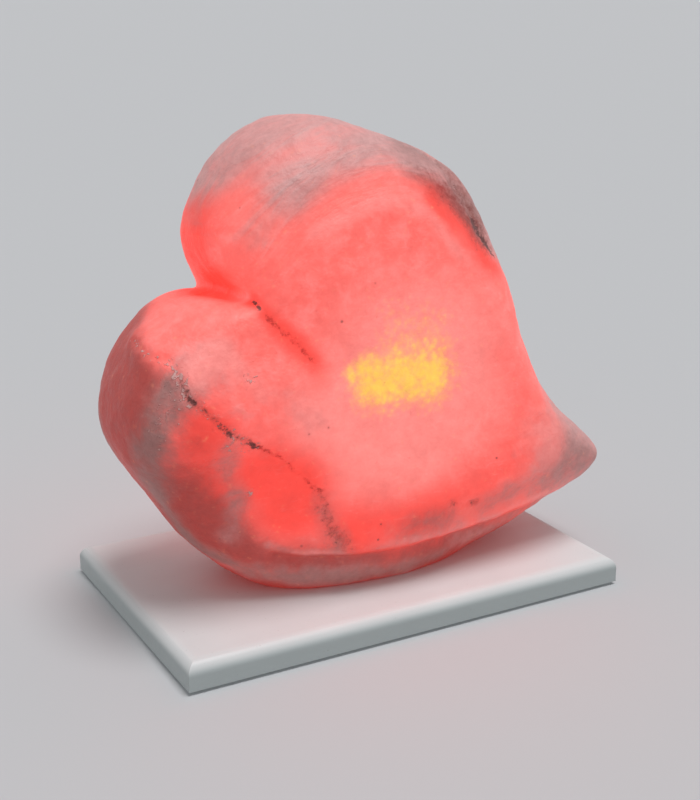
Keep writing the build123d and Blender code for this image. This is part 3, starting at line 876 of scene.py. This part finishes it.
@dataclass(frozen=True)
class SaltHeart:
    """The carved crystal: its relief, its veins and where the lamp shines through."""

    lean: float = 4.5  # degrees, backwards
    middle_y: float = -6.0 * MM
    seat: float = 14.0 * MM
    lamp_x: float = 4.0 * MM
    bore_radius: float = 21.0 * MM
    bore_depth: float = 136.0 * MM
    bore_chamfer: float = 1.5 * MM
    plug_radius: float = 4.0 * MM
    plug_depth: float = 27.0 * MM
    collar_radius: float = 5.0 * MM
    collar_depth: float = 1.0 * MM
    fixing_reach: float = 32.0 * MM
    slack: float = 0.2 * MM  # by which a cut face may lie off its size
    voxel: float = 1.3 * MM
    face_rounds: int = 140  # rounds of smoothing for the two faces
    skin_rounds: int = 6  # rounds of smoothing all over

    # from here on in millimetres, in the heart's own frame
    lobe_middle: tuple[float, float] = (-6.0, 112.0)  # what the tall lobe's streaks run round
    back_shift: Place = (6.0, -5.0, 2.0)  # how the back's colours lie apart from the face's
    back_strength: float = 0.85
    foot_shade: float = 0.95

    # the ridge between the face and the side of the low lobe, where the dark vein runs
    ridge_line: tuple[Place, ...] = (
        (-109, 118, 4), (-110, 115, 20), (-105, 113, 32), (-103, 107, 38), (-101, 98, 42), (-97, 94, 44),
        (-87, 83, 46), (-76, 76, 45), (-64, 69, 44), (-54, 58, 44), (-46, 50, 44), (-43, 41, 43),
        (-39, 30, 41), (-33, 24, 41),
    )
    # the valley between the lobes, from the notch to the middle of the face
    cleft_line: tuple[Place, ...] = (
        (-74, 135, -4), (-70, 134, 18), (-67, 133, 34), (-65, 128, 42), (-59, 121, 43), (-53, 115, 44),
        (-48, 108, 46), (-34, 96, 49), (-22, 86, 50),
    )
    shoulder_vein: tuple[Place, ...] = (
        (28, 187, 23), (34, 176, 33), (38, 165, 37), (42, 154, 39), (46, 149, 39), (49, 144, 38),
    )
    back_vein: tuple[Place, ...] = (
        (-58, 170, -40), (-30, 128, -50), (-8, 70, -50), (30, 44, -48), (66, 34, -44),
    )
    low_vein: tuple[Place, ...] = ((19, 34, 48), (24, 32, 48), (31, 32, 47))
    lip_line: tuple[Place, ...] = (
        (-76, 37, 31), (-66, 27, 32), (-54, 22, 34), (-34, 20, 39), (0, 20, 44), (50, 21, 38), (79, 26, 37),
        (98, 34, 26),
    )
    groove_line: tuple[Place, ...] = (
        (-62, 20, 31), (-44, 16, 36), (-18, 14, 40), (11, 14, 41), (44, 14, 36), (75, 18, 30), (96, 28, 20),
    )

    def local(self, points: np.ndarray) -> np.ndarray:
        """Turns places in the lamp's frame into the heart's own, in millimetres.

        Args:
            points: Places in metres.

        Returns:
            Across, up and out for each place.
        """
        lean = math.radians(self.lean)
        offset = points - np.array([0.0, self.middle_y, self.seat])
        up = offset @ np.array([0.0, math.sin(lean), math.cos(lean)])
        out = offset @ np.array([0.0, -math.cos(lean), math.sin(lean)])
        return np.stack([offset[:, 0], up, out], 1) / MM

    def build(self) -> None:
        """Builds the heart."""
        piece = copy_of_node("salt_crystal", "carved_salt_heart")
        self.close_skin(piece)
        modify(piece, "REMESH", mode="VOXEL", voxel_size=self.voxel)
        self.soften(piece)
        self.carve(piece)
        self.cut_seat(piece)
        self.drill(piece)
        self.paint_fields(piece)
        hand_over(piece, ROCK_SALT, "salt_crystal", smooth_below=50.0)

    def close_skin(self, piece: bpy.types.Object) -> None:
        """Takes the bore and the plug holes out of the copied solid and closes its flat foot.

        Args:
            piece: The copied solid.
        """
        centres = np.array([face.center for face in piece.data.polygons])
        hair = 0.01 * MM
        inside = centres[:, 2] < self.seat + hair
        holes = ((self.lamp_x, self.bore_radius + self.bore_chamfer, self.bore_depth),)
        for side in (-1, 1):
            holes += ((self.lamp_x + side * self.fixing_reach, self.collar_radius, self.plug_depth),)
        for x, radius, depth in holes:
            reach = np.hypot(centres[:, 0] - x, centres[:, 1])
            inside |= (reach < radius + self.slack) & (centres[:, 2] < self.seat + depth + self.slack)
        only(piece)
        choose_faces(piece, inside)
        bpy.ops.mesh.delete(type="FACE")
        bpy.ops.mesh.select_mode(type="EDGE")
        bpy.ops.mesh.select_all(action="DESELECT")
        bpy.ops.mesh.select_non_manifold()
        bpy.ops.mesh.edge_face_add()
        bpy.ops.object.mode_set(mode="OBJECT")

    def soften(self, piece: bpy.types.Object) -> None:
        """Rounds the ridges of both faces and leaves the outline as it is.

        Args:
            piece: The remeshed heart.
        """
        places = self.local(read_points(piece))
        faces = smooth_step(14.0, 36.0, np.abs(places[:, 2])) * smooth_step(4.0, 20.0, places[:, 1])
        write_weights(piece, "faces", faces)
        modify(piece, "SMOOTH", factor=0.5, iterations=self.face_rounds, vertex_group="faces")
        modify(piece, "SMOOTH", factor=0.5, iterations=self.skin_rounds)

    def carve(self, piece: bpy.types.Object) -> None:
        """Works the valley, the grooves of the veins and the uneven grinding into the heart.

        Args:
            piece: The softened heart.
        """
        points = read_points(piece)
        normals = read_vectors(piece.data.vertex_normals, "vector")
        places = self.local(points)
        height = np.zeros(len(points))
        for line, radius, rise, end in (
            (self.cleft_line, 9.0, -1.8, 0.1),
            (self.cleft_line[:8], 2.0, -0.9, 0.3),
            (self.ridge_line, 8.0, 2.4, 0.5),
            (self.ridge_line, 1.6, -0.8, 0.8),
            (self.shoulder_vein, 3.5, -1.2, 1.0),
            (self.low_vein, 2.0, -0.7, 1.0),
            (self.back_vein, 2.2, -0.8, 1.0),
            (self.back_vein, 11.0, -1.0, 1.0),
            (self.lip_line, 4.5, 1.3, 1.0),
            (self.groove_line, 3.6, -1.9, 0.7),
        ):
            height += Stroke(line, radius, radius, rise, end).ridge(places)
        write_points(piece, points + normals * height[:, None] * MM)
        for name, size, strength in (("dents", 46.0, 3.0), ("facets", 17.0, 1.4), ("grit", 5.0, 0.35)):
            texture = bpy.data.textures.new(name, "CLOUDS")
            texture.noise_scale = size * MM
            texture.noise_depth = 2
            modify(piece, "DISPLACE", texture=texture, strength=strength * MM, mid_level=0.5)
        veins = (
            Stroke(self.ridge_line, 3.0, 3.0, 0.8),
            Stroke(self.shoulder_vein, 5.0, 4.0),
            Stroke(self.low_vein, 2.5, 2.0),
        )
        write_weights(piece, "veins", painted(veins, self.local(read_points(piece))))
        chips = bpy.data.textures.new("chips", "VORONOI")
        chips.noise_scale = 3.5 * MM
        modify(piece, "DISPLACE", texture=chips, strength=-1.6 * MM, mid_level=0.3, vertex_group="veins")

    def cut_seat(self, piece: bpy.types.Object) -> None:
        """Grinds the heart flat where it stands on the board.

        Args:
            piece: The carved heart.
        """
        only(piece)
        bpy.ops.object.mode_set(mode="EDIT")
        bpy.ops.mesh.select_all(action="SELECT")
        bpy.ops.mesh.bisect(
            plane_co=(0.0, 0.0, self.seat), plane_no=(0.0, 0.0, 1.0), use_fill=True, clear_inner=True
        )
        bpy.ops.object.mode_set(mode="OBJECT")

    def drill(self, piece: bpy.types.Object) -> None:
        """Drills the bore for the lampholder and the two holes for the wall plugs.

        Args:
            piece: The carved heart.
        """
        below = 5.0 * MM
        cuts = [(self.lamp_x, self.bore_radius, self.bore_depth)]
        for side in (-1, 1):
            x = self.lamp_x + side * self.fixing_reach
            cuts += [(x, self.plug_radius, self.plug_depth), (x, self.collar_radius, self.collar_depth)]
        for x, radius, depth in cuts:
            bpy.ops.object.select_all(action="DESELECT")
            bpy.ops.mesh.primitive_cylinder_add(
                vertices=96,
                radius=radius,
                depth=depth + below,
                location=(x, 0.0, self.seat + (depth - below) / 2),
            )
            drill = bpy.context.object
            modify(piece, "BOOLEAN", operation="DIFFERENCE", object=drill, solver="EXACT")
            bpy.data.objects.remove(drill)

    def paint_fields(self, piece: bpy.types.Object) -> None:
        """Marks where the crust, the glow, the shade and the minerals lie.

        Args:
            piece: The finished mesh.
        """
        points = read_points(piece)
        places = self.local(points)
        mirrored = places * np.array([1.0, 1.0, -1.0])
        behind = self.back_strength * smooth_step(2.0, 30.0, -places[:, 2])
        for field, strokes in self.strokes().items():
            marks = painted(strokes, places)
            if field in (Field.CRUST, Field.GREY, Field.DEEP, Field.SHADE):
                marks = np.maximum(marks, behind * painted(strokes, mirrored + self.back_shift))
            if field is Field.SHADE:
                marks = np.maximum(marks, self.foot_shade * (1.0 - smooth_step(5.0, 26.0, places[:, 1])))
            write_field(piece, field, marks)
        # painted glow: a brighter pink round the bulb, on both faces, spreading down to the left
        halo = Stroke(((-4, 98, 50), (12, 96, 50)), 38.0, 36.0)
        glow_below = Stroke(((-44, 84, 48), (-24, 62, 50), (0, 60, 50)), 17.0, 17.0, 0.7)
        write_field(piece, Field.HALO, painted((halo, glow_below), np.where(places[:, 2:] > 0.0, places, mirrored)))
        # the bore's inside, where the bulb's glow is painted
        in_bore = np.hypot(points[:, 0] - self.lamp_x, points[:, 1]) < self.bore_radius + self.slack
        in_bore &= points[:, 2] < self.seat + self.bore_depth + self.slack
        write_field(piece, Field.BORE, in_bore)
        # rings round the tall lobe, which the carver's strokes and the frost follow
        from_middle = places[:, :2] - np.array(self.lobe_middle)
        ring = np.hypot(*from_middle.T)
        high_up = smooth_step(112.0, 150.0, places[:, 1])
        write_field(piece, Field.RING, ring)
        write_field(piece, Field.BRUSHED, smooth_step(48.0, 74.0, ring) * high_up)
        write_field(piece, Field.TURN, 9.0 * np.abs(np.arctan2(from_middle[:, 0], from_middle[:, 1])))
        write_field(piece, Field.DEPTH, 0.25 * places[:, 2])

    def strokes(self) -> dict[Field, tuple[Stroke, ...]]:
        """Every soft stroke of colour, by the field that it marks.

        Returns:
            The strokes of each field.
        """
        return {
            # painted glow: the bright core in front of the bulb, which the ember and the flame follow
            Field.CORE: (
                Stroke(((-19, 95, 50), (-8, 96, 50), (8, 94, 50)), 11.5, 10.0),
                Stroke(((-8, 108, 50), (10, 107, 50)), 8.0, 8.0, 0.37),
                Stroke(((-29, 101, 48), (-23, 104, 50)), 4.5, 4.0, 0.8),
                Stroke(((-8, 122, 50), (12, 118, 50)), 9.0, 9.0, 0.25),
            ),
            Field.DEEP: (
                # these two: painted shade along the valley between the lobes
                Stroke(self.cleft_line[2:7], 4.0, 4.0, 0.9, 0.7),
                Stroke(((-60, 120, 44), (-46, 104, 47)), 8.0, 8.0, 0.5),
                Stroke(((-96, 84, 44), (-94, 66, 36), (-88, 44, 29)), 13.0, 11.0, 0.9),
                Stroke(((-70, 60, 41), (-58, 54, 42), (-58, 44, 39)), 15.0, 14.0),
                Stroke(((-76, 164, -5), (-76, 152, -9), (-70, 140, -4)), 19.0, 18.0, 1.0),
                Stroke(((20, 168, 42), (33, 160, 42), (44, 146, 42)), 10.0, 10.0, 1.15),
                Stroke(((-30, 28, 44), (-10, 28, 47), (24, 38, 50), (46, 46, 50)), 12.0, 12.0, 0.8, 0.6),
                # painted shade in the groove under the lip
                Stroke(((-60, 19, 32), (-20, 15, 40), (44, 15, 36), (80, 22, 30)), 4.5, 4.5, 0.9),
                Stroke(((47, 98, 50), (58, 76, 50), (62, 60, 50)), 12.0, 12.0, 0.35),
            ),
            Field.CRUST: (
                Stroke(((-48, 196, -6), (-37, 206, -4), (6, 198, -4), (30, 186, -4)), 35.0, 19.0),
                Stroke(((-50, 181, 39), (-35, 189, 37), (-10, 193, 35), (8, 191, 32)), 12.0, 12.0, 0.7),
                Stroke(((-50, 181, 39), (-66, 162, 38)), 9.0, 9.0, 0.4),
                Stroke(((24, 184, 20), (44, 168, 24), (52, 152, 26)), 18.0, 10.0),
                Stroke(((-101, 113, 36), (-98, 107, 42), (-93, 115, 39)), 6.0, 6.0, 0.55),
                Stroke(((-107, 100, 38), (-111, 90, 36)), 6.0, 6.0, 0.5),
                Stroke(((-87, 76, 43), (-85, 62, 37), (-79, 48, 33), (-82, 32, 27)), 6.5, 6.5, 0.45),
                Stroke(((-84, 98, 46), (-70, 108, 45), (-52, 84, 47)), 13.0, 13.0, 0.22),
                Stroke(((-86, 20, 10), (-60, 8, 24), (-27, 4, 33), (0, 3, 33)), 8.0, 8.0, 0.5),
                Stroke(((118, 42, 6), (102, 51, 31)), 33.0, 30.0, 1.0),
                Stroke(((60, 32, 47), (84, 43, 46)), 12.0, 12.0, 0.26),
                Stroke(((-12, 26, 46), (20, 27, 46), (44, 29, 46)), 9.0, 9.0, 0.2),
                Stroke(((30, 9, 33), (58, 13, 31), (84, 22, 24)), 7.0, 7.0, 0.36),
                # painted highlight: a pale line along the lip, where the ledge catches the light
                Stroke(self.lip_line[1:6], 2.2, 2.2, 0.5),
            ),
            Field.LIT: (
                Stroke(self.lip_line[2:7], 2.0, 2.0, 0.62),
                Stroke(
                    ((-45, 160, 45), (-33, 166, 48), (-10, 172, 50), (10, 165, 50), (25, 146, 50)),
                    4.0, 4.0, 0.6,
                ),
                Stroke(((-80, 110, 45), (-72, 98, 46)), 6.0, 6.0, 0.6),
                Stroke(((-98, 109, 41), (-92, 115, 41), (-86, 118, 42)), 7.0, 6.0, 0.85),
                Stroke(((-60, 96, 46), (-50, 84, 47)), 5.0, 5.0, 0.5),
                Stroke(((62, 62, 50), (76, 58, 49), (74, 48, 49)), 10.0, 10.0, 0.6),
            ),
            Field.GREY: (
                Stroke(((-62, 168, 38), (-66, 160, 38)), 7.0, 7.0, 0.22),
                Stroke(
                    ((-107, 100, 37), (-112, 88, 35), (-115, 74, 26), (-107, 50, 8), (-94, 30, 4)),
                    10.0, 10.0, 0.8, 0.8,
                ),
                Stroke(((-86, 74, 43), (-86, 65, 38), (-80, 50, 34)), 6.0, 6.0, 0.36),
                Stroke(((-94, 28, 4), (-75, 14, 20), (-45, 7, 30), (-11, 3, 33), (20, 5, 32)), 6.0, 6.0, 0.6),
                Stroke(((-45, 46, 43), (-40, 31, 41), (-36, 21, 40)), 6.0, 6.0, 0.35, 1.4),
                Stroke(((12, 190, 26), (30, 180, 28), (44, 162, 30)), 10.0, 9.0, 0.7),
                Stroke(((84, 46, 44), (104, 40, 30)), 16.0, 16.0, 0.35),
            ),
            Field.SHADE: (
                Stroke(((-112, 118, -22), (-120, 100, -6), (-121, 86, 2)), 22.0, 12.0, 0.9),
                Stroke(((-113, 108, 6), (-114, 99, 24)), 11.0, 8.0, 0.9),
                Stroke(((-121, 84, 2), (-115, 58, 6), (-98, 34, 6)), 32.0, 18.0),
                Stroke(((-96, 40, 22), (-70, 18, 28), (-20, 8, 36), (40, 8, 32)), 11.0, 10.0, 0.9),
                # a brown smudge by the shoulder vein, in the shade layer's colour
                Stroke(((12, 182, 37), (26, 173, 40), (38, 158, 41)), 9.0, 9.0, 0.8),
                Stroke(((96, 28, 10), (60, 14, 20)), 16.0, 12.0, 0.8),
                Stroke(((-84, 20, -20), (-20, 4, -30), (60, 12, -26)), 16.0, 16.0, 0.8),
                Stroke(((-78, 182, 0), (-86, 170, 4)), 10.0, 10.0, 0.4),
                Stroke(((-98, 84, 42), (-96, 64, 35), (-90, 40, 26)), 11.0, 11.0, 0.36),
                Stroke(((96, 50, 38), (118, 42, 12)), 22.0, 22.0, 0.5),
                Stroke(((0, 26, 46), (44, 28, 46), (84, 38, 40)), 8.0, 8.0, 0.45),
            ),
            Field.SMEAR: (
                Stroke(((14, 182, 38), (25, 174, 40), (34, 164, 41), (42, 152, 41)), 9.0, 9.0, 0.42),
                Stroke(((18, 193, 20), (30, 185, 25), (39, 172, 30), (47, 157, 31)), 7.5, 7.0, 0.45),
                Stroke(((31, 172, 39), (36, 163, 40), (43, 150, 40)), 6.5, 6.5, 0.75),
                Stroke(self.ridge_line[10:], 3.4, 3.4, 0.45, 1.4),
                Stroke(self.ridge_line[3:8], 2.2, 2.2, 0.62),
                Stroke(self.low_vein[:1], 2.2, 2.2, 0.7),
                Stroke(self.low_vein[2:], 2.4, 2.4, 0.75),
            ),
            Field.RUST: (
                Stroke(self.cleft_line[2:7], 1.5, 1.5, 0.8, 0.8),
                Stroke(self.ridge_line[7:11], 1.4, 1.3, 0.8, 0.6),
                Stroke(self.ridge_line[10:], 2.4, 2.4, 0.36),
                Stroke(((22, 174, 40), (32, 167, 40), (40, 156, 40)), 5.0, 5.0, 0.55),
            ),
            Field.VEIN: (
                Stroke(self.ridge_line[3:5], 1.8, 1.6, 0.62),
                Stroke(self.ridge_line[4:8], 1.2, 1.2, 0.56),
                Stroke(((-91, 88, 46), (-86, 82, 46)), 1.7, 1.5, 0.62),
                Stroke(((-77, 76, 45), (-75, 75, 45)), 1.7, 1.5, 0.75),
                Stroke(((-68, 72, 44), (-61, 63, 43)), 1.1, 1.1, 0.5),
                Stroke(((-67, 133, 34), (-67, 131, 39)), 1.5, 1.3, 0.98),
                Stroke(self.shoulder_vein[1:4], 1.8, 1.8, 0.6),
                Stroke(((38, 158, 40), (43, 150, 40), (48, 144, 39)), 3.4, 3.0, 1.0),
                Stroke(self.back_vein, 1.6, 1.6, 0.6, 1.2),
                Stroke(self.low_vein, 1.4, 1.4, 0.5),
                Stroke(((-37, 25, 41), (-30, 23, 42)), 2.2, 2.0, 0.55),
            ),
            Field.CHIPS_AND_GLINTS: (
                Stroke(self.ridge_line[:4], 2.6, 2.4, 0.62),
                Stroke(self.ridge_line[3:8], 3.8, 3.2, 0.5),
                Stroke(((-107, 99, 38), (-111, 88, 36), (-114, 74, 27)), 8.0, 8.0, 0.44),
                Stroke(((-88, 77, 45), (-80, 72, 43)), 4.0, 4.0, 0.5),
                Stroke(self.shoulder_vein[1:], 5.0, 4.0, 0.5),
                Stroke(self.back_vein[:3], 4.0, 4.0, 0.45),
                # painted highlights: two white glints, in the chips' pale colour
                Stroke(((-75, 53, 37),), 2.0, 1.4, 1.0),
                Stroke(((-76, 104, 46),), 3.6, 3.0, 0.5),
            ),
        }


# ---------------------------------------------------------------- board, fittings and bulb


@dataclass(frozen=True)
class Board:
    """The painted board under the heart."""

    edge_softness: float = 0.5 * MM

    def build(self) -> None:
        """Builds the board with its sharp edges softened by the paint."""
        piece = copy_of_node("base_board", "painted_board")
        only(piece)
        bpy.ops.object.mode_set(mode="EDIT")
        bpy.ops.mesh.select_all(action="SELECT")
        bpy.ops.mesh.dissolve_limited(angle_limit=math.radians(0.5))
        bpy.ops.object.mode_set(mode="OBJECT")
        modify(
            piece,
            "BEVEL",
            width=self.edge_softness,
            segments=2,
            limit_method="ANGLE",
            angle_limit=math.radians(50),
            use_clamp_overlap=True,
        )
        hand_over(piece, WHITE_PAINT, "base_board", smooth_below=35.0)
        modify(piece, "WEIGHTED_NORMAL", keep_sharp=True, weight=100)


def dress_nodes() -> None:
    """Gives every node that stays visible its finish."""
    for node, finish in NODE_FINISHES.items():
        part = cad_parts[node]
        part.data.materials.clear()
        part.data.materials.append(finish.material())
        LOG.info("%s: finished as %s", node, finish.slot)


# ---------------------------------------------------------------- floor, light and camera


@dataclass(frozen=True)
class Studio:
    """A plain pale floor, soft light from above and the photograph's viewpoint."""

    camera_place: Place = (-297.2 * MM, -526.4 * MM, 278.5 * MM)
    camera_yaw: float = -29.0  # degrees, as the dip and the sun's softness are
    camera_dip: float = 17.4
    lens: float = 60.9  # millimetres
    floor_size: float = 60.0
    floor_colour: Colour = (0.62, 0.63, 0.65)
    backdrop: Colour = (0.535, 0.545, 0.562)
    sun_strength: float = 1.65
    sun_softness: float = 28.0
    sun_towards: Place = (-0.12, 0.18, -1.0)
    sky_strength: float = 0.34

    def build(self) -> None:
        """Sets up the floor, the light and the camera."""
        self.lay_floor()
        self.hang_lights()
        self.set_camera()
        bpy.context.scene.view_settings.view_transform = "Standard"

    def lay_floor(self) -> None:
        """Lays the floor, which can be looked through from below and lets the sky light the underside."""
        bpy.ops.object.select_all(action="DESELECT")
        bpy.ops.mesh.primitive_plane_add(size=self.floor_size, location=(0.0, 0.0, 0.0))
        floor = bpy.context.object
        floor.name = "studio_floor"
        graph = Graph("studio_floor")
        graph.set(Base_Color=self.floor_colour, Roughness=0.8, Specular_IOR_Level=0.2)
        clear = graph.add("ShaderNodeBsdfTransparent")
        mixed = graph.add("ShaderNodeMixShader")
        behind = graph.add("ShaderNodeNewGeometry").outputs["Backfacing"]
        bounced = graph.add("ShaderNodeLightPath").outputs["Is Diffuse Ray"]
        graph.feed(mixed.inputs["Fac"], graph.sum("MAXIMUM", behind, bounced))
        graph.feed(mixed.inputs[1], graph.shader.outputs["BSDF"])
        graph.feed(mixed.inputs[2], clear.outputs["BSDF"])
        graph.feed(graph.tree.nodes["Material Output"].inputs["Surface"], mixed.outputs["Shader"])
        floor.data.materials.append(graph.material)

    def hang_lights(self) -> None:
        """Lights the object from above and all around."""
        sun = bpy.data.objects.new("overhead_softbox", bpy.data.lights.new("overhead_softbox", "SUN"))
        sun.data.energy = self.sun_strength
        sun.data.angle = math.radians(self.sun_softness)
        sun.rotation_euler = Vector(self.sun_towards).to_track_quat("-Z", "Y").to_euler()
        bpy.context.scene.collection.objects.link(sun)
        world = bpy.data.worlds.new("studio")
        bpy.context.scene.world = world
        world.use_nodes = True
        tree = world.node_tree
        sky = tree.nodes["Background"]
        sky.inputs["Color"].default_value = (1.0, 1.0, 1.0, 1.0)
        sky.inputs["Strength"].default_value = self.sky_strength
        seen = tree.nodes.new("ShaderNodeBackground")
        seen.inputs["Color"].default_value = (*self.backdrop, 1.0)
        path = tree.nodes.new("ShaderNodeLightPath")
        rays = path.outputs["Is Camera Ray"]
        for kind in ("Is Glossy Ray", "Is Transmission Ray"):
            either = tree.nodes.new("ShaderNodeMath")
            either.operation = "MAXIMUM"
            tree.links.new(rays, either.inputs[0])
            tree.links.new(path.outputs[kind], either.inputs[1])
            rays = either.outputs["Value"]
        mixed = tree.nodes.new("ShaderNodeMixShader")
        tree.links.new(rays, mixed.inputs["Fac"])
        tree.links.new(sky.outputs["Background"], mixed.inputs[1])
        tree.links.new(seen.outputs["Background"], mixed.inputs[2])
        tree.links.new(mixed.outputs["Shader"], tree.nodes["World Output"].inputs["Surface"])

    def set_camera(self) -> None:
        """Puts the camera where the photograph was taken from."""
        yaw, dip = math.radians(self.camera_yaw), math.radians(self.camera_dip)
        look = Vector((-math.sin(yaw) * math.cos(dip), math.cos(yaw) * math.cos(dip), -math.sin(dip)))
        camera = bpy.data.objects.new("photo_viewpoint", bpy.data.cameras.new("photo_viewpoint"))
        camera.data.lens = self.lens
        turned = look.to_track_quat("-Z", "Y").to_matrix().to_4x4()
        camera.matrix_world = Matrix.Translation(self.camera_place) @ turned
        camera.data.clip_start = 0.01
        bpy.context.scene.collection.objects.link(camera)
        bpy.context.scene.camera = camera


def main() -> None:
    """Builds the lamp piece by piece."""
    logging.basicConfig(level=logging.INFO, format="%(name)s: %(message)s")
    SaltHeart().build()
    Board().build()
    dress_nodes()
    Studio().build()


if __name__ == "__main__":
    main()
